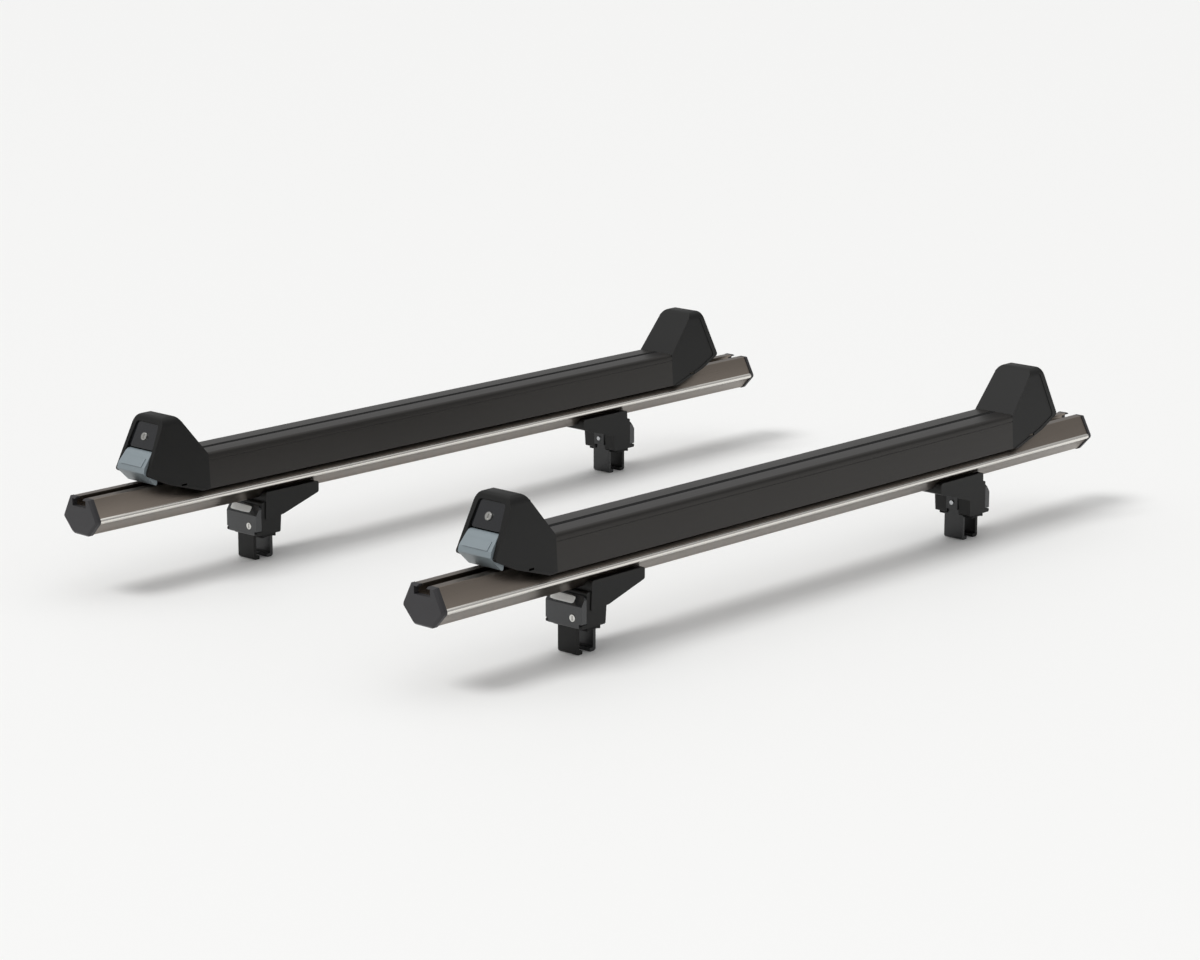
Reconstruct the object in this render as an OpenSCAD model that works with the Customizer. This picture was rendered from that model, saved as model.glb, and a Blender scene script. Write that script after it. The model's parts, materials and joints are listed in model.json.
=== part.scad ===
// Pair of two-way sliding roof cross bars with rail clamp feet. Millimetres.
// X points to the front of the car, Y runs along the bars, Z is up, and Z = 0 is under the clamp hooks.

/* [Pair] */
// Distance between the two bars
bar_spacing = 800; // [500:10:1200]
// Length of each lower bar
bar_l = 1620; // [1400:10:2000]
// From the end of the front bar to the outer face of its feet
front_overhang = 290; // [245:5:420]
// From the end of the rear bar to the outer face of its feet
rear_overhang = 335; // [245:5:420]

/* [Lower bar] */
// Width over the two edge beads
lip_w = 86; // [80:1:96]
// Height of the bead centre above the underside
lip_z = 26; // [22:1:30]
// Radius of the edge bead
lip_r = 5; // [3.5:0.5:6]
// How far the bead stands out of the flank
bead_out = 1.2; // [0.4:0.2:2]
// Width of the flat top
top_w = 50; // [46:1:56]
// Width of the flat underside
base_w = 48; // [42:1:56]
// Height of the section
lower_h = 61; // [56:1:70]
// Wall of the extrusion
lower_wall = 2.6; // [2:0.2:3.4]
// Width of the guide channel under the top
channel_w = 34; // [32:1:38]
// Height of the guide channel
channel_h = 12; // [11:0.5:14]
// Width of the channel mouth
channel_gap = 20; // [16:1:24]
// Thickness of the lips over the channel
channel_lid = 3; // [2.5:0.5:4]

/* [T-slots] */
// Width of the slot cavity
slot_w = 22; // [20:1:24]
// Height of the slot cavity
slot_h = 8; // [7:0.5:9]
// Width of the slot mouth
slot_gap = 11; // [10:0.5:12]
// Thickness of the lips over the slot
slot_lid = 3; // [2.5:0.5:4]

/* [End caps] */
// How far a cap stands out round the section
cap_rim = 1.4; // [0.6:0.2:2]
// Thickness of a cap outside the bar
cap_t = 10; // [6:1:14]
// Depth of the sloped edge of a cap
cap_bevel = 3.5; // [1.5:0.5:5]
// Length of the plug inside the bar
cap_plug = 14; // [8:1:24]

/* [Slide bar] */
// Width over the skirts
skirt_w = 88; // [84:1:94]
// Height of the lower edge of the skirts
skirt_z = 41; // [37:1:44]
// Inward lean of the sides for each millimetre of height
side_lean = 0.052; // [0.03:0.002:0.07]
// Height of the top of the slide bar
slide_top = 102; // [96:1:112]
// Wall of the slide bar
slide_wall = 3; // [2.4:0.2:3.6]
// Radius of the upper edges
slide_r = 7; // [5:0.5:9]
// Gap between the deck and the lower bar
deck_gap = 1.2; // [1:0.1:2]
// Width of the head of the guide tongue
head_w = 28; // [25:1:29]
// Thickness of the head of the guide tongue
head_t = 6; // [4:0.5:6.5]
// Width of the neck of the guide tongue
neck_w = 12; // [9:1:14]
// Height of the side groove below the top
groove_drop = 12; // [10:1:16]
// Width and depth of the side groove
groove_w = 2; // [1.2:0.2:2.6]

/* [Glides] */
// Length of one glide
glide_l = 60; // [40:5:90]
// Running gap between the tongue and a glide
run_gap = 0.4; // [0.3:0.1:0.6]

/* [Hood] */
// From the end of the lower bar to the inner end of a hood
hood_end = 232; // [220:2:250]
// From the end of the lower bar to the beak of a hood
beak_u = 102; // [96:1:112]
// Height of the beak
beak_z = 86; // [82:1:92]
// Height of a hood
hood_top = 174; // [166:1:186]
// From the beak to the upper outer corner of a hood
crown_in = 38; // [30:1:44]
// Radius of the upper side corners seen from the end
arch_r = 16; // [10:1:20]
// Width of the raised band along the edge of a hood's sides
band_w = 11; // [8:0.5:14]
// How far the band stands out
band_out = 0.8; // [0.4:0.1:1.2]
// Half width of the opening at the lever pivot
mouth_half = 33; // [30:0.5:34]
// Widening of the opening for each millimetre below the pivot
mouth_flare = 0.08; // [0.04:0.01:0.09]

/* [Lever and lock] */
// Radius of the lever barrel
barrel_r = 10; // [8:0.5:11]
// Distance of the pivot above the beak, along the face
pivot_up = 30; // [27:0.5:33]
// Diameter of the lever pin
pin_d = 5; // [4:0.5:6]
// Side and running gap of the lever
lever_gap = 0.8; // [0.6:0.1:1]
// Height of the lock panel along the face
panel_h = 44; // [38:1:46]
// Thickness of the lock panel
panel_t = 5; // [4:0.5:7]
// Depth of the lock panel behind the face
panel_in = 4; // [2:0.5:5]
// Diameter of the hood key cylinder
key_d = 13; // [10:0.5:16]
// Lift of the lock shoe
shoe_lift = 6; // [3:0.5:8]

/* [Foot] */
// Height of the bar over the underside of the hooks
foot_h = 108; // [104:1:130]
// Half width of the foot
foot_half = 38; // [34:1:42]
// Length of the foot along the bar
foot_l = 142; // [130:1:170]
// Depth of the foot below the bar
foot_drop = 62; // [60:1:64]
// Thickness of the hinged cover
cover_t = 12; // [12:0.5:16]
// Thickness of the rubber pad on the rail
pad_t = 6; // [4:0.5:8]
// Width of the gap for the rail
rail_gap = 31; // [28:1:34]
// Thickness of a hook
hook_t = 6; // [5:0.5:7]
// Half width of the hooks
hook_half = 20; // [16:1:24]
// Diameter of the clamp bolt
bolt_d = 8; // [6:0.5:8]
// Travel of the jaw
jaw_travel = 10; // [4:1:12]
// Diameter of the foot key cylinder
foot_key_d = 12; // [10:0.5:14]

/* [Hidden] */
// Each bar: name, place across the car, overhang past its feet
BARS = [["front", 1, front_overhang], ["rear", -1, rear_overhang]];
// Each side: name, turn about Z of the pieces drawn for the right end
SIDES = [["right", 0], ["left", 180]];

fit = 0.3;
cut = 1;
arc_n = 6;
deck_z = lower_h + deck_gap;
deck_t = slide_wall;
base_r = 8;
top_r = 2;
skirt_r = 1.4;
slide_top_half = skirt_w / 2 - side_lean * (slide_top - skirt_z);
channel_floor = lower_h - channel_lid - channel_h;
head_z = channel_floor + (channel_h - head_t) / 2;
strip_foot = 3;

// Hood and lever, in the frame that leans with the hood's outer face
face_drop = 4;
lean = atan(crown_in / (hood_top - face_drop - beak_z));
face_reach = 40;
barrel_in = barrel_r;
barrel_room = 1.2;
panel_low = pivot_up + barrel_r + barrel_room;
panel_high = panel_low + panel_h;
panel_r = 6;
panel_lap = 2;
mouth_r = 0.6;
key_up = panel_low + 20;
key_proud = 1;
pin_half = mouth_half + 4;
key_deep = 17;
lever_back = 31;
shoe_u = beak_u + 42;
shoe_half = 12;
shoe_len = 16;
shoe_h = 28;
shoe_over = 0.5;
shoe_room = 3;
plug_l = 26;
plug_in = 7;
notch = [6, 12, 3];
notch_u = beak_u + 74;
notch_drop = 4.5;

// Foot
rail_z = -foot_drop - pad_t;
pad_arc_r = 60;
pad_hollow = 1.5;
shoulder_r = 8;
cover_side = 5;
cover_face = 4.5;
cover_sill = 8;
cover_pocket_h = 30;
ear_room = 1.2;
foot_key_proud = 0.8;
hook_lip = 7;
outer_hook_v = cover_t + 2.5;
jaw_v = outer_hook_v + rail_gap;
hook_root = 0.4;
hook_bend = 5;
hook_tip = 2;
bolt_z = -42;
hinge_v = 3.2;
hinge_z = -foot_drop + 3.2;
hinge_r = 3.2;
hinge_pin_d = 3.6;
ear_t = 5;
key_x = 19;
key_z = -46;
tee_bolt_v = [30, 100];
nut_w = 15;
nut_h = 6.5;
nut_room_d = 16;
bolt_spare = 3;
tee_head_t = 6;
bolt_grip = 4;
bolt_head_d = 12;
bolt_head_h = 6;
socket_d = 7;
socket_deep = 4;
seat_t = 7.5;
boss_half = 12;
boss_l = 12;

// Direction of the outward normal of the tangent from corner p to corner q, each [x, y, radius]
function normal(p, q) = let (d = [q[0] - p[0], q[1] - p[1]])
    atan2(d[1], d[0]) - acos((p[2] - q[2]) / norm(d));
// Turn from angle a to angle b, counted anticlockwise
function turn(a, b) = let (t = b - a) t - 360 * floor(t / 360);
// Outline round a convex row of corner circles, moved inwards by t
function ring(c, t = 0) = [
    for (i = [0 : len(c) - 1])
        let (n = len(c), q = c[i])
        let (a = normal(c[(i + n - 1) % n], q), w = turn(a, normal(q, c[(i + 1) % n])))
        for (k = [0 : arc_n])
            [q[0] + max(q[2] - t, 0.05) * cos(a + w * k / arc_n),
             q[1] + max(q[2] - t, 0.05) * sin(a + w * k / arc_n)]];

// A flat outline in x and z, run along Y from y = a to y = b
module along(a, b) {
    translate([0, b, 0]) rotate([90, 0, 0]) linear_extrude(b - a) children();
}
// A flat outline in y and z, run across X from -half to half
module across(half) {
    rotate([90, 0, 90]) linear_extrude(2 * half, center = true) children();
}
// The frame of one end of one bar: origin at the end, Y inwards, Z = 0 at the bar's underside
module at_end(bar, side) {
    translate([bar[1] * bar_spacing / 2, 0, foot_h])
        rotate([0, 0, side[1]])
            translate([0, -bar_l / 2, 0])
                children();
}
// The frame that leans with the outer face of a hood: Y goes into it, Z goes up it
module on_face() {
    translate([0, beak_u, beak_z]) rotate([-lean, 0, 0]) children();
}

lower_corners = [
    [-base_w / 2 + base_r, base_r, base_r],
    [base_w / 2 - base_r, base_r, base_r],
    [lip_w / 2 - lip_r - bead_out, lip_z, lip_r],
    [top_w / 2 - top_r, lower_h - top_r, top_r],
    [-top_w / 2 + top_r, lower_h - top_r, top_r],
    [-lip_w / 2 + lip_r + bead_out, lip_z, lip_r]];

// Mouth and cavity of a T-shaped slot that opens upwards at z = 0
module tee(w, h, gap, lid) {
    translate([-w / 2, -lid - h]) square([w, h]);
    translate([-gap / 2, -lid - cut / 2]) square([gap, lid + cut]);
}
module guide_channel() {
    translate([0, lower_h]) tee(channel_w, channel_h, channel_gap, channel_lid);
}
module foot_slot() {
    mirror([0, 1]) tee(slot_w, slot_h, slot_gap, slot_lid);
}
// Hollow of the lower bar, left clear of the walls round its two slots
module lower_chamber(t) {
    difference() {
        polygon(ring(lower_corners, t));
        translate([-channel_w / 2 - t, channel_floor - t])
            square([channel_w + 2 * t, lower_h]);
        translate([-slot_w / 2 - t, -cut])
            square([slot_w + 2 * t, slot_lid + slot_h + t + cut]);
    }
}
module lower_profile() {
    difference() {
        union() {
            polygon(ring(lower_corners));
            for (s = [-1, 1])
                translate([s * (lip_w / 2 - lip_r), lip_z]) circle(r = lip_r, $fn = 40);
        }
        lower_chamber(lower_wall);
        guide_channel();
        foot_slot();
    }
}
module lower_bar() {
    color("#8d8a84") along(0, bar_l) lower_profile();
}

// Outline of a cap: it stands out round the section but stays level with the flat top
module cap_outline(t) {
    intersection() {
        polygon(ring(lower_corners, t));
        translate([-lip_w, lower_h - 2 * lip_w]) square([2 * lip_w, 2 * lip_w]);
    }
}
// End cap with a sloped edge, a plug in the chamber and a passage for the guide tongue
module lower_cap() {
    edge = 0.1;
    color("#3c3a3e") difference() {
        union() {
            hull() {
                along(-cap_t, -cap_t + edge) cap_outline(cap_bevel - cap_rim);
                along(-cap_t + cap_bevel, 0) cap_outline(-cap_rim);
            }
            along(-cut / 2, cap_plug) lower_chamber(lower_wall + fit);
        }
        along(-cap_t - cut, cut) guide_channel();
    }
}

slide_corners = [
    [-skirt_w / 2 + skirt_r, skirt_z + skirt_r, skirt_r],
    [skirt_w / 2 - skirt_r, skirt_z + skirt_r, skirt_r],
    [slide_top_half - slide_r, slide_top - slide_r, slide_r],
    [-slide_top_half + slide_r, slide_top - slide_r, slide_r]];

// Space under the deck, round the lower bar
module straddle() {
    intersection() {
        union() {
            polygon(ring(slide_corners, slide_wall));
            translate([-skirt_w / 2 + slide_wall + skirt_r / 2, skirt_z - cut])
                square([skirt_w - 2 * slide_wall - skirt_r, slide_wall + skirt_r + cut]);
        }
        translate([-skirt_w / 2, skirt_z - cut]) square([skirt_w, deck_z - skirt_z + cut]);
    }
}
// Hollow over the deck, left clear of the walls of the top slot
module slide_chamber() {
    difference() {
        intersection() {
            polygon(ring(slide_corners, slide_wall));
            translate([-skirt_w / 2, deck_z + deck_t]) square([skirt_w, slide_top]);
        }
        translate([-slot_w / 2 - slide_wall, slide_top - slot_lid - slot_h - slide_wall])
            square([slot_w + 2 * slide_wall, slide_top]);
    }
}
module tongue() {
    translate([-neck_w / 2, head_z]) square([neck_w, deck_z + deck_t / 2 - head_z]);
    translate([-head_w / 2, head_z]) square([head_w, head_t]);
}
module slide_profile() {
    difference() {
        polygon(ring(slide_corners));
        straddle();
        slide_chamber();
        translate([0, slide_top]) tee(slot_w, slot_h, slot_gap, slot_lid);
        for (s = [-1, 1])
            translate([s * (slide_top_half + side_lean * groove_drop), slide_top - groove_drop])
                square(groove_w, center = true);
    }
    tongue();
}
module slide_bar() {
    color("#4a4846") along(hood_end, bar_l - hood_end) slide_profile();
}
// Rubber strip that closes the top slot, ribbed on its upper face
module slot_strip() {
    rib = 1.2;
    color("#1d1c1b") along(hood_end + fit, bar_l - hood_end - fit) translate([0, slide_top]) {
        translate([-slot_w / 2 + fit, -slot_lid - strip_foot])
            square([slot_w - 2 * fit, strip_foot]);
        translate([-slot_gap / 2 + fit, -slot_lid - cut])
            square([slot_gap - 2 * fit, slot_lid + cut]);
        for (i = [-1 : 1])
            translate([i * slot_gap / 3.6 - rib / 2, -cut / 2]) square([rib, cut]);
    }
}
// Glides that line the guide channel round the tongue
module glides() {
    color("#d8d4c8")
        for (y = [hood_end + glide_l, bar_l / 2, bar_l - hood_end - glide_l])
            along(y - glide_l / 2, y + glide_l / 2) difference() {
                translate([-channel_w / 2, channel_floor]) square([channel_w, channel_h]);
                translate([-head_w / 2 - run_gap, head_z - run_gap])
                    square([head_w + 2 * run_gap, head_t + 2 * run_gap]);
                translate([-neck_w / 2 - run_gap, head_z])
                    square([neck_w + 2 * run_gap, channel_h]);
            }
}

// Side outline of a hood: skirt, inboard slope, crown, leaning face and beak
hood_side = [
    [hood_end - 18, skirt_z + skirt_r, skirt_r],
    [hood_end - skirt_r, skirt_z + skirt_r, skirt_r],
    [hood_end - 3, slide_top - 3, 3],
    [beak_u + crown_in + 24, hood_top - 14, 14],
    [beak_u + crown_in + 9, hood_top - 9, 9],
    [beak_u + 5, beak_z, 5],
    [beak_u + 44, deck_z + 4, 4]];
// End outline of a hood: sides in line with the slide bar, and an arched crown
hood_front = [
    [-skirt_w / 2 + skirt_r, skirt_z + skirt_r, skirt_r],
    [skirt_w / 2 - skirt_r, skirt_z + skirt_r, skirt_r],
    [skirt_w / 2 - side_lean * (hood_top - skirt_z) - arch_r, hood_top - arch_r, arch_r],
    [-skirt_w / 2 + side_lean * (hood_top - skirt_z) + arch_r, hood_top - arch_r, arch_r]];

// Flat side of a hood inside the raised band, run out past its inboard slope
hood_flat = [
    [beak_u + 7 + band_w, beak_z + 1, 6],
    [beak_u + 41 + band_w, deck_z + 7, 4],
    [hood_end + band_w, skirt_z - 4, 1],
    [hood_end + band_w, hood_top - 17, 1],
    [beak_u + crown_in + 2 + band_w, hood_top - 17, 6]];

function mouth(z) = mouth_half - mouth_flare * (z - pivot_up);
// Outline of the opening between the legs, from height a to height b along the face
function mouth_corners(a, b, r, g) = [
    [-mouth(a) + g + r, a + r, r], [mouth(a) - g - r, a + r, r],
    [mouth(b) - g - r, b - r, r], [-mouth(b) + g + r, b - r, r]];

module hood() {
    color("#1c1b1a") difference() {
        union() {
            intersection() {
                across(skirt_w) polygon(ring(hood_side));
                along(0, hood_end + cut) polygon(ring(hood_front));
            }
            hood_band();
            hood_plug();
        }
        along(0, hood_end + cut) straddle();
        on_face() along(-face_reach, panel_in + panel_t)
            polygon(ring(mouth_corners(panel_low - panel_lap, panel_high, panel_r, 0)));
        on_face() along(-face_reach, lever_back)
            polygon(ring(mouth_corners(-face_reach, panel_low, mouth_r, 0)));
        translate([-shoe_half - fit, shoe_u - shoe_len / 2 - fit, skirt_z])
            cube([2 * (shoe_half + fit), shoe_len + 2 * fit, lower_h + shoe_h + shoe_lift + shoe_room - skirt_z]);
        on_face() translate([0, 0, key_up]) rotate([-90, 0, 0])
            cylinder(d = key_d + 2 * fit, h = key_deep + fit, $fn = 40);
        on_face() translate([0, barrel_in, pivot_up]) rotate([0, 90, 0])
            cylinder(d = pin_d, h = 2 * pin_half, center = true, $fn = 32);
        for (s = [-1, 1])
            translate([s * skirt_w / 2, notch_u, deck_z - notch_drop]) cube(notch, center = true);
    }
}
// Raised band round the face, beak and lower edge of a hood
module hood_band() {
    difference() {
        intersection() {
            across(skirt_w) polygon(ring(hood_side));
            along(0, hood_end + cut) polygon(ring(hood_front, -band_out));
        }
        across(skirt_w + cut) polygon(ring(hood_flat));
    }
}
// Tenon that holds the hood in the end of the slide bar
module hood_plug() {
    h = slide_top - slot_lid - slot_h - slide_wall - deck_z - deck_t - 2 * fit;
    w = skirt_w - 2 * slide_wall - 2 * plug_in;
    translate([-w / 2, hood_end - cut, deck_z + deck_t + fit]) cube([w, plug_l, h]);
}
// Dark plate round the key cylinder
module lock_panel() {
    color("#232427") on_face() difference() {
        along(panel_in, panel_in + panel_t)
            polygon(ring(mouth_corners(panel_low, panel_high, panel_r, fit)));
        translate([0, 0, key_up]) rotate([-90, 0, 0])
            cylinder(d = key_d + 2 * fit, h = panel_in + panel_t + cut, $fn = 40);
    }
}
// Round key cylinder with a slot across its face, drawn along +Y from y = 0
module key_cylinder(d, h) {
    key_slot = [1.8, 3, d * 0.56];
    difference() {
        rotate([-90, 0, 0]) cylinder(d = d, h = h, $fn = 40);
        cube([key_slot[0], 2 * key_slot[1], key_slot[2]], center = true);
    }
}
module hood_lock() {
    color("#c9ccce") on_face() translate([0, key_proud, key_up])
        key_cylinder(key_d, key_deep - key_proud);
}

// Side outline of the lever in the leaning frame: barrel, thumb edge and lower lip
lever_side = [
    [barrel_in, pivot_up, barrel_r],
    [-3.5, 9, 2.5],
    [-1.5, 1.5, 3],
    [26.5, -9, 2.5]];
module lever() {
    color("#7d878c") on_face() difference() {
        union() {
            intersection() {
                across(mouth_half + 2 * lever_gap) polygon(ring(lever_side));
                along(-face_reach, lever_back)
                    polygon(ring(mouth_corners(-face_reach, panel_low, mouth_r, lever_gap)));
            }
            thumb_pad();
        }
        translate([0, barrel_in, pivot_up]) rotate([0, 90, 0])
            cylinder(d = pin_d + 2 * fit, h = 2 * pin_half, center = true, $fn = 32);
    }
}
// Raised pad on the outer face of the lever
module thumb_pad() {
    pad_half = mouth_half - 7;
    tilt = atan2(barrel_in - barrel_r + 6, pivot_up - 9);
    translate([0, -6, 9]) rotate([-tilt, 0, 0])
        translate([-pad_half, -1.6, 0]) cube([2 * pad_half, 4, pivot_up - 14]);
}
module lever_pins() {
    color("#b9bbbd")
        for (side = SIDES)
            rotate([0, 0, side[1]]) translate([0, -bar_l / 2, 0]) on_face()
                translate([0, barrel_in, pivot_up]) rotate([0, 90, 0])
                    cylinder(d = pin_d, h = 2 * pin_half, center = true, $fn = 32);
}
// Shoe that the lever lifts off the lower bar
module lock_shoe() {
    color("#55585a")
        translate([-shoe_half, shoe_u - shoe_len / 2, lower_h + shoe_over])
            cube([2 * shoe_half, shoe_len, shoe_h]);
}

// Side outlines of a foot, from its outer face: tower over the rail, and arm under the bar
foot_tower = [
    [cover_t + fit + 1.5, -foot_drop + 1.5, 1.5],
    [jaw_v + 6, -foot_drop + 3, 3],
    [jaw_v + 10, -8, 3],
    [cover_t + fit + 3, -8, 3]];
foot_arm = [
    [cover_t + 12, -32, 4],
    [jaw_v + 14, -28, 4],
    [foot_l - 4, -4, 4],
    [foot_l - 4, 8, 4],
    [cover_t + 14, 8, 4]];
// Part of a circle about [y, z], from angle a to angle b
function arc(y, z, r, a, b) = [
    for (k = [0 : arc_n])
        let (w = a + (b - a) * k / arc_n)
        [y + r * cos(w), z + r * sin(w)]];
// Side outline of the outer hook: its root rises behind the cover, its bent wall stands below it
outer_hook = [
    each arc(outer_hook_v - hook_t + hook_bend, -foot_h + hook_bend, hook_bend, 180, 270),
    each arc(outer_hook_v + hook_lip - hook_tip, -foot_h + hook_tip, hook_tip, 270, 360),
    [outer_hook_v + hook_lip, -foot_h + hook_t],
    [outer_hook_v, -foot_h + hook_t],
    [outer_hook_v, -foot_drop + cut],
    [cover_t + fit, -foot_drop + cut],
    [cover_t + fit, -foot_drop - hook_root],
    [outer_hook_v - hook_t, -foot_drop - hook_root]];
module foot_body() {
    color("#1b1a1a") difference() {
        union() {
            across(foot_half) polygon(ring(foot_tower));
            across(foot_half + 2) polygon(ring(foot_arm));
            across(hook_half) polygon(outer_hook);
            for (s = [-1, 1])
                translate([s * (foot_half - ear_t / 2), 0, 0]) across(ear_t / 2) polygon(ring([
                    [hinge_v, hinge_z, hinge_r],
                    [cover_t + 5, hinge_z, hinge_r]]));
        }
        along(0, foot_l + cut) polygon(ring(lower_corners, -fit));
        translate([-boss_half - fit, jaw_v - fit, -foot_drop - cut])
            cube([2 * (boss_half + fit), foot_l, foot_drop + cut + bolt_z + boss_half + 2]);
        translate([0, 0, bolt_z]) rotate([-90, 0, 0])
            cylinder(d = bolt_d + 2 * fit, h = jaw_v + 24, $fn = 32);
        for (v = tee_bolt_v) {
            translate([0, v, -foot_drop - cut])
                cylinder(d = bolt_d + 2 * fit, h = foot_drop + lower_h, $fn = 32);
            translate([0, v, -foot_drop - cut])
                cylinder(d = nut_room_d, h = foot_drop + cut - seat_t, $fn = 32);
        }
        translate([0, hinge_v, hinge_z]) rotate([0, 90, 0])
            cylinder(d = hinge_pin_d + 2 * fit, h = 2 * foot_half - 2, center = true, $fn = 32);
    }
}
// Rubber pad with a hollow for the rail
module rail_pad() {
    color("#161616") difference() {
        translate([-foot_half + 2, outer_hook_v + fit, rail_z])
            cube([2 * foot_half - 4, rail_gap - 2 * fit, pad_t]);
        translate([0, outer_hook_v + rail_gap / 2, rail_z + pad_hollow - pad_arc_r]) rotate([0, 90, 0])
            cylinder(r = pad_arc_r, h = 2 * foot_half, center = true, $fn = 64);
    }
}
// Hinged outer cover: sloped brow, flat face, trunnions at its lower edge
foot_cover_side = [
    [2, -foot_drop + 2, 2],
    [cover_t - 3, -foot_drop + 3, 3],
    [cover_t - 1, -11, 1],
    [2.5, -27, 2.5]];
// Front outline of a cover, with rounded shoulders
cover_front = [
    [-foot_half + 0.5, -foot_drop, 0.5],
    [foot_half - 0.5, -foot_drop, 0.5],
    [foot_half - shoulder_r, -10 - shoulder_r, shoulder_r],
    [-foot_half + shoulder_r, -10 - shoulder_r, shoulder_r]];
module foot_cover() {
    low = foot_half - ear_t - fit;
    color("#3f4244") difference() {
        union() {
            intersection() {
                across(foot_half) polygon(ring(foot_cover_side));
                along(-cut, cover_t + cut) polygon(ring(cover_front));
                union() {
                    translate([-foot_half, -cut, hinge_z + hinge_r + ear_room])
                        cube([2 * foot_half, cover_t + 2 * cut, foot_drop]);
                    translate([-low, -cut, -foot_drop - cut])
                        cube([2 * low, cover_t + 2 * cut, foot_drop]);
                }
            }
            translate([0, hinge_v, hinge_z]) rotate([0, 90, 0])
                cylinder(d = hinge_pin_d, h = 2 * (low + ear_t - ear_room), center = true, $fn = 32);
        }
        translate([-foot_half + cover_side, cover_face, -foot_drop + cover_sill])
            cube([2 * (foot_half - cover_side), cover_t, cover_pocket_h]);
        translate([key_x, 0, key_z]) rotate([-90, 0, 0])
            cylinder(d = foot_key_d + 2 * fit, h = 3 * cover_t, center = true, $fn = 40);
    }
}
module foot_lock() {
    color("#8f9396") translate([key_x, -foot_key_proud, key_z]) key_cylinder(foot_key_d, cover_t - 1);
}
module clamp_bolt() {
    color("#a7a9ab") difference() {
        translate([0, cover_t - bolt_head_h, bolt_z]) rotate([-90, 0, 0]) union() {
            cylinder(d = bolt_head_d, h = bolt_head_h, $fn = 40);
            cylinder(d = bolt_d, h = bolt_head_h + jaw_v + jaw_travel + bolt_grip - cover_t, $fn = 32);
        }
        translate([0, cover_t - bolt_head_h - cut, bolt_z]) rotate([-90, 0, 0])
            cylinder(d = socket_d, h = socket_deep + cut, $fn = 6);
    }
}
// Side outline of the jaw's wide lower leg and its lip under the rail
jaw_hook = [
    each arc(jaw_v - hook_lip + hook_tip, -foot_h + hook_tip, hook_tip, 180, 270),
    each arc(jaw_v + hook_t - hook_bend, -foot_h + hook_bend, hook_bend, 270, 360),
    [jaw_v + hook_t, -foot_drop - cut],
    [jaw_v, -foot_drop - cut],
    [jaw_v, -foot_h + hook_t],
    [jaw_v - hook_lip, -foot_h + hook_t]];
// Inner jaw: threaded boss on the clamp bolt, leg beside the rail and lip under it
module jaw() {
    color("#2a2b2c") difference() {
        union() {
            translate([-boss_half, jaw_v, bolt_z - boss_half]) cube([2 * boss_half, boss_l, 2 * boss_half]);
            translate([-boss_half, jaw_v, -foot_drop - cut])
                cube([2 * boss_half, hook_t, foot_drop + cut + bolt_z]);
            across(hook_half) polygon(jaw_hook);
        }
        translate([0, jaw_v, bolt_z]) rotate([-90, 0, 0])
            cylinder(d = bolt_d + 2 * fit, h = 3 * boss_l, center = true, $fn = 32);
    }
}
// Bolts with square heads in the foot slot, and their nuts, for both feet of a bar
module foot_bolts(overhang) {
    color("#b9bbbd")
        for (side = SIDES)
            for (v = tee_bolt_v)
                rotate([0, 0, side[1]]) translate([0, overhang + v - bar_l / 2, 0]) {
                    translate([0, 0, slot_lid + tee_head_t / 2])
                        cube([slot_w - 2, slot_w - 2, tee_head_t], center = true);
                    translate([0, 0, -seat_t - nut_h - bolt_spare])
                        cylinder(d = bolt_d, h = seat_t + nut_h + bolt_spare + slot_lid + cut, $fn = 32);
                    translate([0, 0, -seat_t - nut_h]) difference() {
                        cylinder(d = nut_w, h = nut_h - fit, $fn = 6);
                        translate([0, 0, -cut]) cylinder(d = bolt_d + fit, h = nut_h + 2 * cut, $fn = 32);
                    }
                }
}

// One bar's own frame, centred on its length
module at_bar(bar) {
    translate([bar[1] * bar_spacing / 2, 0, foot_h]) children();
}
for (bar = BARS) {
    at_end(bar, SIDES[0]) lower_bar();
    at_end(bar, SIDES[0]) slide_bar();
    at_end(bar, SIDES[0]) slot_strip();
    at_end(bar, SIDES[0]) glides();
    at_bar(bar) lever_pins();
    at_bar(bar) foot_bolts(bar[2]);
    for (side = SIDES) {
        name = str(bar[0], "_", side[0]);
        at_end(bar, side) lower_cap();
        at_end(bar, side) hood();
        at_end(bar, side) lock_panel();
        at_end(bar, side) lever();
        at_end(bar, side) hood_lock();
        at_end(bar, side) lock_shoe();
        at_foot(bar, side) foot_body();
        at_foot(bar, side) rail_pad();
        at_foot(bar, side) foot_cover();
        at_foot(bar, side) foot_lock();
        at_foot(bar, side) clamp_bolt();
        at_foot(bar, side) jaw();
    }
}
// The frame of one foot: origin under the bar at the foot's outer face
module at_foot(bar, side) {
    at_end(bar, side) translate([0, bar[2], 0]) children();
}
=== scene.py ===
"""Pair of two-way sliding roof cross bars on rail clamp feet: finishes, small detail, light and camera."""
import json
import math

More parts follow.
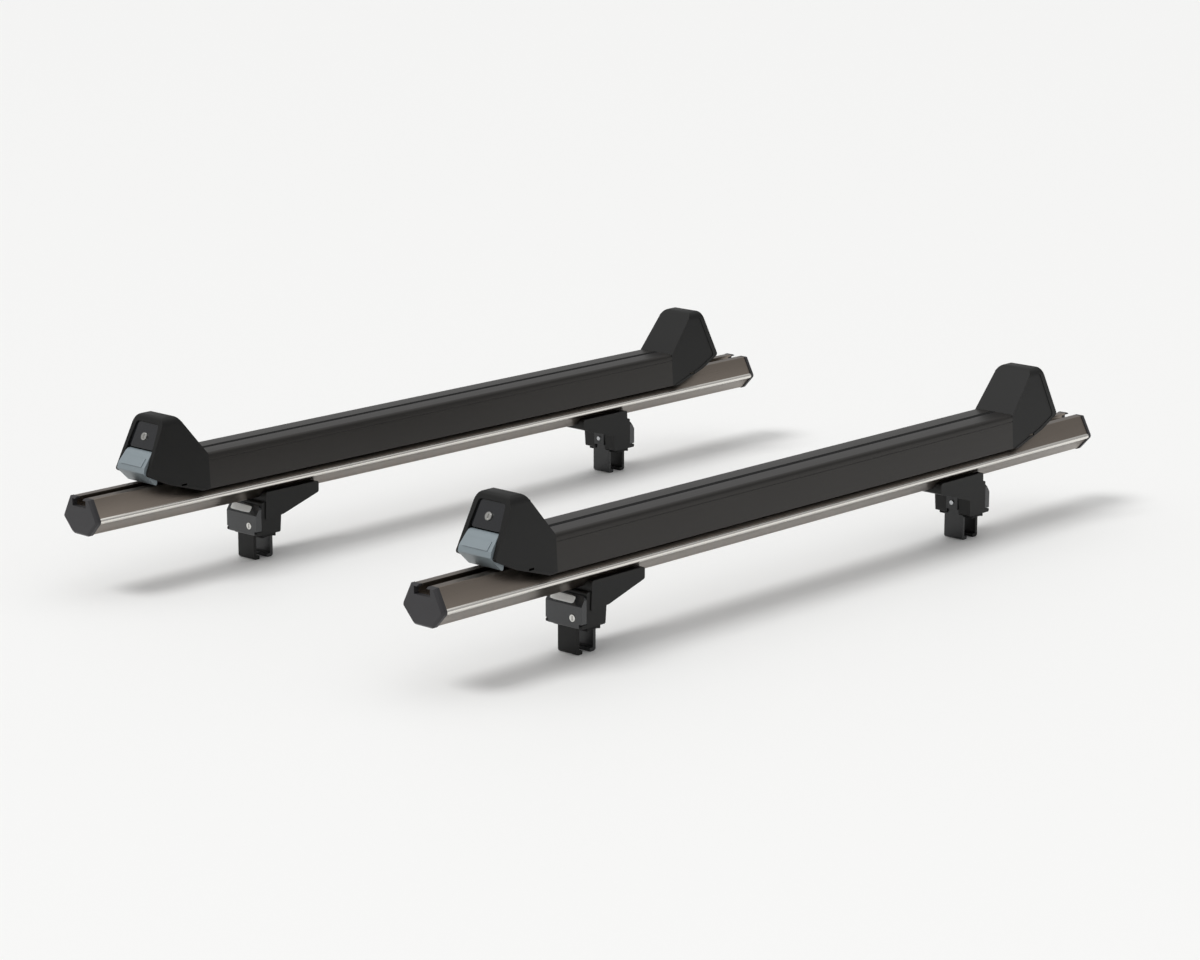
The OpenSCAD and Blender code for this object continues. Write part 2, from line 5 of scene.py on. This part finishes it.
import bmesh
import bpy
import numpy as np
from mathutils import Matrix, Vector


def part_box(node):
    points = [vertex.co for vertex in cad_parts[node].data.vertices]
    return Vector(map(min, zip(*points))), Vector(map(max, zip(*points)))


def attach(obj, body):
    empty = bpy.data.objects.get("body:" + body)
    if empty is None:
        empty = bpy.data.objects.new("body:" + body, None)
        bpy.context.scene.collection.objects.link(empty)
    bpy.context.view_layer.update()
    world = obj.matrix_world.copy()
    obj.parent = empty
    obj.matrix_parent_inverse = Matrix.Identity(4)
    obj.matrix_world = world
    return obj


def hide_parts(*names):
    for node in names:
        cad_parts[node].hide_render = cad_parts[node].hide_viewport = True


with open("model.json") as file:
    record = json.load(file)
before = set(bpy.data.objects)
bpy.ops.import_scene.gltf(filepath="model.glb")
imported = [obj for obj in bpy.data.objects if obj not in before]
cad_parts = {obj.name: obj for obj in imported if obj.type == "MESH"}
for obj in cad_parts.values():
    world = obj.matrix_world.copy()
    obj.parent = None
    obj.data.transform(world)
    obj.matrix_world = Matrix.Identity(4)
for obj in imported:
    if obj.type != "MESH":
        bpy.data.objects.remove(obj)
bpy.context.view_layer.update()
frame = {"nodes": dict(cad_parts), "record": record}

MM = 0.001
BARS = ("front", "rear")
SIDES = ("right", "left")
CORNERS = [f"{bar}_{side}" for bar in BARS for side in SIDES]
BODY_OF = {node: body for body, nodes in frame["record"]["behaviour"]["bodies"].items() for node in nodes}


# ---- Helpers for materials and objects

# Blender numbers a Mix node's sockets: first input, second input and output of each kind
MIX_SOCKETS = {"FLOAT": (2, 3, 0), "RGBA": (6, 7, 2)}


def linear(code):
    """An sRGB hex value as linear red, green, blue and alpha."""
    parts = [int(code[i:i + 2], 16) / 255 for i in (1, 3, 5)]
    return [p / 12.92 if p <= 0.04045 else ((p + 0.055) / 1.055) ** 2.4 for p in parts] + [1.0]


def shade(code, factor):
    """The linear colour of a hex value, made darker or lighter by a factor."""
    return [min(1.0, c * factor) for c in linear(code)[:3]] + [1.0]


def add(tree, kind, settings=None, links=None):
    """Adds one node: settings fill its sockets or properties, and links join its sockets to other nodes'
    outputs."""
    node = tree.nodes.new(kind)
    for key, value in (settings or {}).items():
        if isinstance(key, int) or key in node.inputs:
            node.inputs[key].default_value = value
        else:
            setattr(node, key, value)
    for key, output in (links or {}).items():
        tree.links.new(output, node.inputs[key])
    return node


def parts_of(material):
    """A material's node tree, its shader, and each point's place on the object that wears it."""
    tree = material.node_tree
    return tree, tree.nodes["Principled BSDF"], add(tree, "ShaderNodeTexCoord").outputs["Object"]


def hold(name, data):
    """A new object in the scene for a mesh, a light or a camera."""
    holder = bpy.data.objects.new(name, data)
    bpy.context.scene.collection.objects.link(holder)
    return holder


def point_along(holder, direction):
    """Turns a light or a camera to look along a direction."""
    holder.rotation_mode = "QUATERNION"
    holder.rotation_quaternion = direction.to_track_quat("-Z", "Y")


def inward(side):
    """The direction from a bar's end to its middle, along Y."""
    return 1.0 if side == "right" else -1.0


# ---- Finishes

def surface(name, code, rough, grain_mm, depth_mm, stretch=(1, 1, 1), spread=0.06, tone=0.10, cloud_mm=70,
            **sockets):
    """A shader whose fine grain gives bump and roughness, and whose wide clouds shift the colour a little.
    stretch below 1 along an axis draws the grain out into lines along it."""
    material = bpy.data.materials.new(name)
    material.use_nodes = True
    tree, shader, place = parts_of(material)
    drawn = add(tree, "ShaderNodeMapping", {"Scale": stretch}, {"Vector": place}).outputs[0]
    grain = add(tree, "ShaderNodeTexNoise", {"Scale": 1 / (grain_mm * MM), "Detail": 3.0, "Roughness": 0.6},
                {"Vector": drawn}).outputs[0]
    cloud = add(tree, "ShaderNodeTexNoise", {"Scale": 1 / (cloud_mm * MM), "Detail": 4.0},
                {"Vector": place}).outputs[0]
    first, second, mixed = MIX_SOCKETS["RGBA"]
    colour = add(tree, "ShaderNodeMix", {"data_type": "RGBA", first: shade(code, 1 - tone),
                                         second: shade(code, 1 + tone)}, {0: cloud})
    dull = add(tree, "ShaderNodeMapRange", {"From Min": 0.3, "From Max": 0.7, "To Min": rough - spread,
                                            "To Max": rough + spread}, {"Value": grain})
    bump = add(tree, "ShaderNodeBump", {"Strength": 1.0, "Distance": depth_mm * MM}, {"Height": grain})
    tree.links.new(colour.outputs[mixed], shader.inputs["Base Color"])
    tree.links.new(dull.outputs[0], shader.inputs["Roughness"])
    tree.links.new(bump.outputs[0], shader.inputs["Normal"])
    for socket, value in sockets.items():
        shader.inputs[socket.replace("_", " ")].default_value = value
    return material


# Extrusion lines are about half a millimetre apart and run the length of the bar
EXTRUDED = (1, 0.004, 1)
# The bead lies along the widest line of the lower bar, 26 mm above the bar's underside; its near-white colour
# is a painted highlight
BEAD_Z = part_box("front_lower_bar")[0].z + 26 * MM
BEAD_HALF = 4.4 * MM
BEAD_FADE = 0.5 * MM
# Painted highlight: the near-white colour of the bead, standing in for light caught on its rounded edge
BEAD_HIGHLIGHT_COLOUR = "#e6e3dd"
BEAD_ROUGH = 0.16
# Moulded ribs across the rail pads: their spacing and height
RIB_PITCH = 3 * MM
RIB_HEIGHT = 0.8 * MM
# A Wave texture of scale 1 repeats each 2 pi / 20
WAVE_LENGTH = 2 * math.pi / 20


def anodised_aluminium():
    """6063 aluminium, extruded and satin anodised: warm grey metal with faint lines along the bar. The bead
    along its widest line has a lower roughness and a near-white colour that is a painted highlight."""
    material = surface("satin_anodised_aluminium", "#857c73", 0.32, 0.5, 0.012, EXTRUDED, 0.05, 0.05, 300,
                       Metallic=1.0)
    tree, shader, place = parts_of(material)
    height = add(tree, "ShaderNodeSeparateXYZ", links={0: place}).outputs["Z"]
    above = add(tree, "ShaderNodeMath", {"operation": "SUBTRACT", 1: BEAD_Z}, {0: height}).outputs[0]
    away = add(tree, "ShaderNodeMath", {"operation": "ABSOLUTE"}, {0: above}).outputs[0]
    # The band of the bead: where the highlight is painted into the colour and the roughness drops
    bead = add(tree, "ShaderNodeMapRange", {"From Min": BEAD_HALF, "From Max": BEAD_HALF + BEAD_FADE,
                                            "To Min": 1.0, "To Max": 0.0}, {"Value": away}).outputs[0]
    # The colour mixed in here is a painted highlight; the roughness is the bead's lower roughness
    for socket, kind, highlight_colour_and_gloss in (("Base Color", "RGBA", linear(BEAD_HIGHLIGHT_COLOUR)),
                                   ("Roughness", "FLOAT", BEAD_ROUGH)):
        first, second, mixed = MIX_SOCKETS[kind]
        satin = shader.inputs[socket].links[0].from_socket
        mix = add(tree, "ShaderNodeMix", {"data_type": kind, second: highlight_colour_and_gloss}, {0: bead, first: satin})
        tree.links.new(mix.outputs[mixed], shader.inputs[socket])
    return material


def coated_aluminium():
    """Extruded aluminium with a dark satin coat: the lines show through, and the gloss is even."""
    return surface("dark_coated_aluminium", "#33312f", 0.36, 0.6, 0.010, EXTRUDED, 0.05, 0.06, 240,
                   Metallic=0.65)


def grained_nylon():
    """Glass-filled nylon, moulded in a spark-eroded tool: near black, fine even grain, dull sheen."""
    return surface("grained_black_nylon", "#121211", 0.46, 0.7, 0.035, spread=0.07,
                   Specular_IOR_Level=0.28)


def side_nylon():
    """The hood's flat sides, in the dark grey of the slide bar that they carry on."""
    return surface("dark_grey_side", "#2c2b29", 0.40, 0.7, 0.030, spread=0.06, Specular_IOR_Level=0.4)


def polished_acrylic():
    """Gloss black plastic plate, moulded in a polished tool: sharp reflections on a flat face."""
    return surface("polished_black_plate", "#17181b", 0.13, 3.0, 0.002, spread=0.03, tone=0.04,
                   Coat_Weight=0.6, Coat_Roughness=0.05)


def grey_nylon():
    """Blue-grey moulded nylon with a fine grain."""
    return surface("blue_grey_nylon", "#7d878c", 0.40, 0.6, 0.028, tone=0.06)


def cap_nylon():
    """Dark grey moulded nylon of the end caps, a little duller than the hoods."""
    return surface("dark_grey_nylon", "#302f31", 0.48, 0.7, 0.030, tone=0.06, Specular_IOR_Level=0.35)


def cover_abs():
    """Semi-gloss moulded ABS of the foot covers."""
    return surface("semi_gloss_abs", "#26282a", 0.24, 1.2, 0.008, spread=0.04, tone=0.05, Coat_Weight=0.3,
                   Coat_Roughness=0.12)


def epdm_rubber(name="matt_epdm_rubber"):
    """EPDM rubber, extruded or moulded: black, matt, with a slightly open skin."""
    return surface(name, "#161616", 0.78, 0.8, 0.050, spread=0.08, Specular_IOR_Level=0.3)


def ribbed_rubber():
    """Rubber of the rail pads, with moulded ribs across the rail."""
    material = epdm_rubber("ribbed_epdm_rubber")
    tree, shader, place = parts_of(material)
    ribs = add(tree, "ShaderNodeTexWave", {"bands_direction": "X", "Scale": WAVE_LENGTH / RIB_PITCH},
               {"Vector": place}).outputs["Fac"]
    grain = shader.inputs["Normal"].links[0].from_socket
    bump = add(tree, "ShaderNodeBump", {"Distance": RIB_HEIGHT}, {"Height": ribs, "Normal": grain})
    tree.links.new(bump.outputs[0], shader.inputs["Normal"])
    return material


def acetal():
    """Natural acetal of the glides: creamy white and waxy."""
    return surface("natural_acetal", "#d8d4c8", 0.38, 1.5, 0.010, tone=0.03, Subsurface_Weight=0.1,
                   Subsurface_Scale=0.002)


def zinc_plated_steel():
    """Zinc-plated steel fasteners: cool grey metal with a cloudy, slightly spangled skin."""
    return surface("zinc_plated_steel", "#b9bbbd", 0.30, 2.0, 0.010, spread=0.10, tone=0.12, cloud_mm=6,
                   Metallic=1.0)


def nickel_plated_brass():
    """Nickel-plated key cylinders: bright, warm-white metal, lightly brushed."""
    return surface("nickel_plated_key_cylinder", "#d4d3cf", 0.20, 0.4, 0.008, (0.05, 1, 1), 0.05, 0.04, 5,
                   Metallic=1.0)


def coated_steel():
    """Pressed steel with a black electro-coat: a faint orange-peel skin."""
    return surface("black_coated_steel", "#232425", 0.32, 1.6, 0.012, spread=0.05)


def blank_plate():
    """Thin white plastic plate, left without print."""
    return surface("blank_white_plate", "#e6e6e3", 0.28, 1.0, 0.004, spread=0.04, tone=0.02)


FINISHES = {
    "bar_aluminium": anodised_aluminium(),
    "slide_aluminium": coated_aluminium(),
    "rubber": epdm_rubber(),
    "glide_plastic": acetal(),
    "plated_steel": zinc_plated_steel(),
    "cap_plastic": cap_nylon(),
    "black_plastic": grained_nylon(),
    "gloss_panel": polished_acrylic(),
    "grey_plastic": grey_nylon(),
    "key_metal": nickel_plated_brass(),
    "cover_plastic": cover_abs(),
    "coated_steel": coated_steel(),
}
SIDE = side_nylon()
RIBBED = ribbed_rubber()
PLATE = blank_plate()


# ---- The CAD pieces with real edges

# Corners closer than this are one, and neighbours this flat are one face
MERGE_DISTANCE = 0.002 * MM
FLAT_ANGLE = math.radians(0.4)
# Corners sharper than this are rounded, in this many steps
SHARP_ANGLE = math.radians(34)
EDGE_STEPS = 3
# The flats of a hood's sides: how far they face sideways, and how far they lie behind the raised band
FLAT_FACING = 0.99
FLAT_DEPTH = (0.4 * MM, 1.2 * MM)


def merged(node):
    """The corners and faces of a CAD node, with doubled corners merged and flat neighbours joined."""
    work = bmesh.new()
    work.from_mesh(frame["nodes"][node].data)
    bmesh.ops.remove_doubles(work, verts=work.verts, dist=MERGE_DISTANCE)
    bmesh.ops.dissolve_limit(work, angle_limit=FLAT_ANGLE, verts=work.verts, edges=work.edges)
    work.verts.index_update()
    corners = [v.co[:] for v in work.verts]
    faces = [[v.index for v in f.verts] for f in work.faces]
    work.free()
    return corners, faces


def link(name, mesh, slot, body, finish=None):
    """Puts a finished mesh in the scene with its finish, on its body."""
    mesh.materials.append(finish or FINISHES[slot])
    piece = hold(name, mesh)
    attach(piece, body)
    return piece


def dress(node, slot, edge_mm, finish=None):
    """A CAD node with its real edges: sharp corners are rounded by edge_mm."""
    corners, faces = merged(node)
    mesh = bpy.data.meshes.new(f"{node}_dressed")
    mesh.from_pydata(corners, [], faces)
    mesh.shade_smooth()
    mesh.set_sharp_from_angle(angle=SHARP_ANGLE)
    piece = link(f"{node}_dressed", mesh, slot, BODY_OF[node], finish)
    edge = piece.modifiers.new("edges", "BEVEL")
    edge.width = edge_mm * MM
    edge.segments = EDGE_STEPS
    edge.limit_method = "ANGLE"
    edge.angle_limit = SHARP_ANGLE
    edge.harden_normals = True
    edge.use_clamp_overlap = True
    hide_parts(node)
    return piece


def colour_flats(piece, node):
    """The flats of a hood's sides, which lie just behind its raised band, take the side colour."""
    low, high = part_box(node)
    middle = (low + high) / 2
    piece.data.materials.append(SIDE)
    offsets = {face.index: abs(face.normal.dot(face.center - middle))
               for face in piece.data.polygons if abs(face.normal.x) > FLAT_FACING}
    proud = max(offsets.values())
    for index, offset in offsets.items():
        if FLAT_DEPTH[0] < proud - offset < FLAT_DEPTH[1]:
            piece.data.polygons[index].material_index = 1


# Slot of each piece, and its edge radius in mm
BAR_PIECES = {
    "lower_bar": ("bar_aluminium", 0.35),
    "cap_right": ("cap_plastic", 0.8),
    "cap_left": ("cap_plastic", 0.8),
    "slide_bar": ("slide_aluminium", 0.35),
    "slot_strip": ("rubber", 0.3),
    "glides": ("glide_plastic", 0.4),
    "lever_pins": ("plated_steel", 0.4),
    "foot_bolts": ("plated_steel", 0.4),
}
CORNER_PIECES = {
    "hood": ("black_plastic", 1.0),
    "lock_panel": ("gloss_panel", 0.4),
    "lever": ("grey_plastic", 0.8),
    "hood_lock": ("key_metal", 0.6),
    "lock_shoe": ("rubber", 0.8),
    "foot": ("black_plastic", 0.8),
    "rail_pad": ("rubber", 0.8),
    "foot_cover": ("cover_plastic", 0.6),
    "foot_lock": ("key_metal", 0.6),
    "clamp_bolt": ("plated_steel", 0.5),
    "jaw": ("coated_steel", 1.0),
}
for bar in BARS:
    for name, (slot, edge_mm) in BAR_PIECES.items():
        dress(f"{bar}_{name}", slot, edge_mm)
for corner in CORNERS:
    for name, (slot, edge_mm) in CORNER_PIECES.items():
        piece = dress(f"{corner}_{name}", slot, edge_mm, RIBBED if name == "rail_pad" else None)
        if name == "hood":
            colour_flats(piece, f"{corner}_hood")


# ---- Threads of the bolts

GRID_SHARP_ANGLE = math.radians(40)
# Every bolt is M8 with a coarse thread
BOLT_RADIUS = 8 / 2 * MM
PITCH_MM = 1.25
FOOT_THREAD_MM = 12
CLAMP_THREAD_MM = 24
THREAD_STEPS = 24           # steps in a turn
THREAD_LEAD = 0.6           # the ridge starts this share of a pitch in from the bolt's end
# Section of the ridge: its corners' height over the shank in mm, and their place as a share of the pitch
RIDGE_OUT = np.array([-0.05, 0.2, 0.2, -0.05])
RIDGE_ALONG = np.array([-0.45, -0.12, 0.12, 0.45])


def grid_mesh(name, points, wrap=False):
    """A mesh from an array of points in rows and columns. The rows close on themselves if wrap is set,
    and the first and last columns are closed by one face each."""
    rows, columns = points.shape[:2]
    mesh = bpy.data.meshes.new(name)
    row, column = np.meshgrid(np.arange(rows if wrap else rows - 1), np.arange(columns - 1), indexing="ij")
    after = (row + 1) % rows
    quads = np.stack([row * columns + column, after * columns + column,
                      after * columns + column + 1, row * columns + column + 1], -1).reshape(-1, 4)
    ends = [[int(i * columns) for i in range(rows)][::-1],
            [int(i * columns + columns - 1) for i in range(rows)]]
    mesh.from_pydata(points.reshape(-1, 3).tolist(), [], quads.tolist() + (ends if wrap else []))
    work = bmesh.new()
    work.from_mesh(mesh)
    bmesh.ops.recalc_face_normals(work, faces=work.faces)
    work.to_mesh(mesh)
    work.free()
    mesh.shade_smooth()
    mesh.set_sharp_from_angle(angle=GRID_SHARP_ANGLE)
    return mesh


def loose_boxes(node):
    """The least and greatest corner of each separate solid in a CAD node."""
    corners, faces = merged(node)
    group = list(range(len(corners)))

    def root(i):
        while group[i] != i:
            group[i] = group[group[i]]
            i = group[i]
        return i

    for face in faces:
        for i in face[1:]:
            group[root(i)] = root(face[0])
    solids = {}
    for i, corner in enumerate(corners):
        solids.setdefault(root(i), []).append(corner)
    return [(Vector(np.min(s, 0)), Vector(np.max(s, 0))) for s in solids.values()]


def screw_thread(name, body, end, along, length_mm):
    """A rolled thread on a shank, from its end backwards: a ridge whose middle follows the helix
    (r cos t, r sin t, pitch t / 2 pi), with its flanks sunk into the shank."""
    pitch = PITCH_MM * MM
    turns = length_mm / PITCH_MM - 1
    t = np.linspace(0, 2 * np.pi * turns, int(THREAD_STEPS * turns))[:, None]
    reach = BOLT_RADIUS + RIDGE_OUT[None, :] * MM
    rise = RIDGE_ALONG[None, :] * pitch
    across = along.orthogonal().normalized()
    beside = along.cross(across)
    height = pitch * (THREAD_LEAD + t / (2 * np.pi)) + rise
    points = (np.array(end) + height[..., None] * np.array(along)
              + (reach * np.cos(t))[..., None] * np.array(across)
              + (reach * np.sin(t))[..., None] * np.array(beside))
    link(name, grid_mesh(name, points), "plated_steel", body)


for bar in BARS:
    # The bolts reach up to the top of the node's box, and their nuts end lower
    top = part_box(f"{bar}_foot_bolts")[1].z
    shanks = [box for box in loose_boxes(f"{bar}_foot_bolts") if box[1].z > top - 1 * MM]
    for count, (low, high) in enumerate(shanks, 1):
        middle = (low + high) / 2
        screw_thread(f"{bar}_foot_bolt_{count}_thread", BODY_OF[f"{bar}_foot_bolts"],
                     (middle.x, middle.y, low.z), Vector((0, 0, 1)), FOOT_THREAD_MM)
    for side in SIDES:
        corner = f"{bar}_{side}"
        low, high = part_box(f"{corner}_clamp_bolt")
        middle = (low + high) / 2
        inner_end = high.y if side == "right" else low.y
        screw_thread(f"{corner}_clamp_thread", BODY_OF[f"{corner}_clamp_bolt"],
                     (middle.x, inner_end, middle.z), Vector((0, -inward(side), 0)), CLAMP_THREAD_MM)


# ---- Blank plates on the foot covers

# The brow's two ends: how far they lie behind the cover's face, and how far above its lower edge
BROW_FOOT = (0.29 * MM, 36.17 * MM)
BROW_HEAD = (10.12 * MM, 51.47 * MM)
PLATE_HALF_W = 25 * MM
PLATE_HALF_H = 6.2 * MM
PLATE_THICK = 0.7 * MM
PLATE_SUNK = 0.2 * MM
PLATE_ASIDE = 6 * MM        # from the middle of the cover
PLATE_STEPS = 72            # corners round the rim
PLATE_POWER = 6             # of x and s in the outline
# Rings of the plate from its middle to its rim: their size and height as shares of the whole
PLATE_RINGS = np.array([0.02, 0.5, 0.9, 0.97, 1.0, 1.0])
PLATE_RISE = np.array([1.0, 1.0, 1.0, 0.75, 0.3, -PLATE_SUNK / PLATE_THICK])


def brow_plate(corner):
    """The blank plate on the sloped brow of a foot cover: a rounded rectangle in x and s, the distance up the
    slope, whose thickness h falls away at its rim."""
    side = corner.split("_")[1]
    low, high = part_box(f"{corner}_foot_cover")
    into = inward(side)
    face_y = low.y if side == "right" else high.y
    middle_x = (low.x + high.x) / 2
    foot_of_brow = Vector((BROW_FOOT[0], low.z + BROW_FOOT[1]))
    head_of_brow = Vector((BROW_HEAD[0], low.z + BROW_HEAD[1]))
    along_brow = (head_of_brow - foot_of_brow).normalized()
    out_of_brow = Vector((-along_brow.y, along_brow.x))
    middle = (foot_of_brow + head_of_brow) / 2
    turns = np.linspace(0, 2 * np.pi, PLATE_STEPS, endpoint=False)[:, None]
    reach = PLATE_RINGS[None, :]
    x = PLATE_HALF_W * reach * np.sign(np.cos(turns)) * np.abs(np.cos(turns)) ** (2 / PLATE_POWER)
    s = PLATE_HALF_H * reach * np.sign(np.sin(turns)) * np.abs(np.sin(turns)) ** (2 / PLATE_POWER)
    h = PLATE_THICK * PLATE_RISE[None, :] + 0 * turns
    y = face_y + into * (middle.x + s * along_brow.x + h * out_of_brow.x)
    z = middle.y + s * along_brow.y + h * out_of_brow.y
    points = np.stack([middle_x - into * PLATE_ASIDE + x, y, z], -1)
    link(f"{corner}_brow_plate", grid_mesh(f"{corner}_brow_plate", points, wrap=True), "cover_plastic",
         f"{corner}_foot_cover", PLATE)


for corner in CORNERS:
    brow_plate(corner)


# ---- Floor, light and camera

FLOOR_HALF = 30.0           # metres
FLOOR_COLOUR = "#efefee"
FLOOR_ROUGH = 0.6
SUN_STRENGTH = 1.5
SUN_WIDTH = math.radians(22)
SUN_DIRECTION = (0.3, 1.0, -1.4)
# The sky brightens from its low level to its high one between these heights of a view's direction
SKY_HEIGHTS = (0.5, 0.95)
SKY_LEVELS = (0.42, 1.1)
# The photograph's viewpoint, with a longer lens that closes in on the pair
CAMERA_PLACE = (3.804, -4.088, 1.444)
CAMERA_AIM = (0.02, -0.03, 0.13)
LENS_MM = 100.0
SENSOR_MM = 36.0
NEAREST = 0.1               # metres


def stage_floor():
    """A pale floor far wider than the view."""
    half = FLOOR_HALF
    mesh = bpy.data.meshes.new("floor")
    mesh.from_pydata([(-half, -half, 0), (half, -half, 0), (half, half, 0), (-half, half, 0)], [],
                     [(0, 1, 2, 3)])
    floor = hold("floor", mesh)
    material = bpy.data.materials.new("pale_floor")
    material.use_nodes = True
    shader = material.node_tree.nodes["Principled BSDF"]
    shader.inputs["Base Color"].default_value = linear(FLOOR_COLOUR)
    shader.inputs["Roughness"].default_value = FLOOR_ROUGH
    mesh.materials.append(material)


def key_light():
    """One wide soft sun from the near left, even over the whole floor."""
    light = bpy.data.lights.new("key", "SUN")
    light.energy = SUN_STRENGTH
    light.angle = SUN_WIDTH
    point_along(hold("key", light), Vector(SUN_DIRECTION))


def sky():
    """White surroundings that are brightest overhead, so metal shows its form. With the key light they bring
    the floor to the level where a colour renders about as written."""
    world = bpy.data.worlds.new("surroundings")
    bpy.context.scene.world = world
    world.use_nodes = True
    tree = world.node_tree
    towards = add(tree, "ShaderNodeTexCoord").outputs["Generated"]
    upward = add(tree, "ShaderNodeSeparateXYZ", links={0: towards}).outputs["Z"]
    level = add(tree, "ShaderNodeMapRange", {"From Min": SKY_HEIGHTS[0], "From Max": SKY_HEIGHTS[1],
                                             "To Min": SKY_LEVELS[0], "To Max": SKY_LEVELS[1],
                                             "interpolation_type": "SMOOTHSTEP"}, {"Value": upward})
    tree.links.new(level.outputs[0], tree.nodes["Background"].inputs["Strength"])
    tree.nodes["Background"].inputs["Color"].default_value = linear("#ffffff")


def photo_camera():
    """The camera that the main picture is taken with."""
    lens = bpy.data.cameras.new("photo_view")
    lens.sensor_width = SENSOR_MM
    lens.lens = LENS_MM
    lens.clip_start = NEAREST
    holder = hold("photo_view", lens)
    holder.location = CAMERA_PLACE
    point_along(holder, Vector(CAMERA_AIM) - holder.location)
    bpy.context.scene.camera = holder


stage_floor()
key_light()
sky()
photo_camera()
bpy.context.scene.view_settings.view_transform = "Standard"
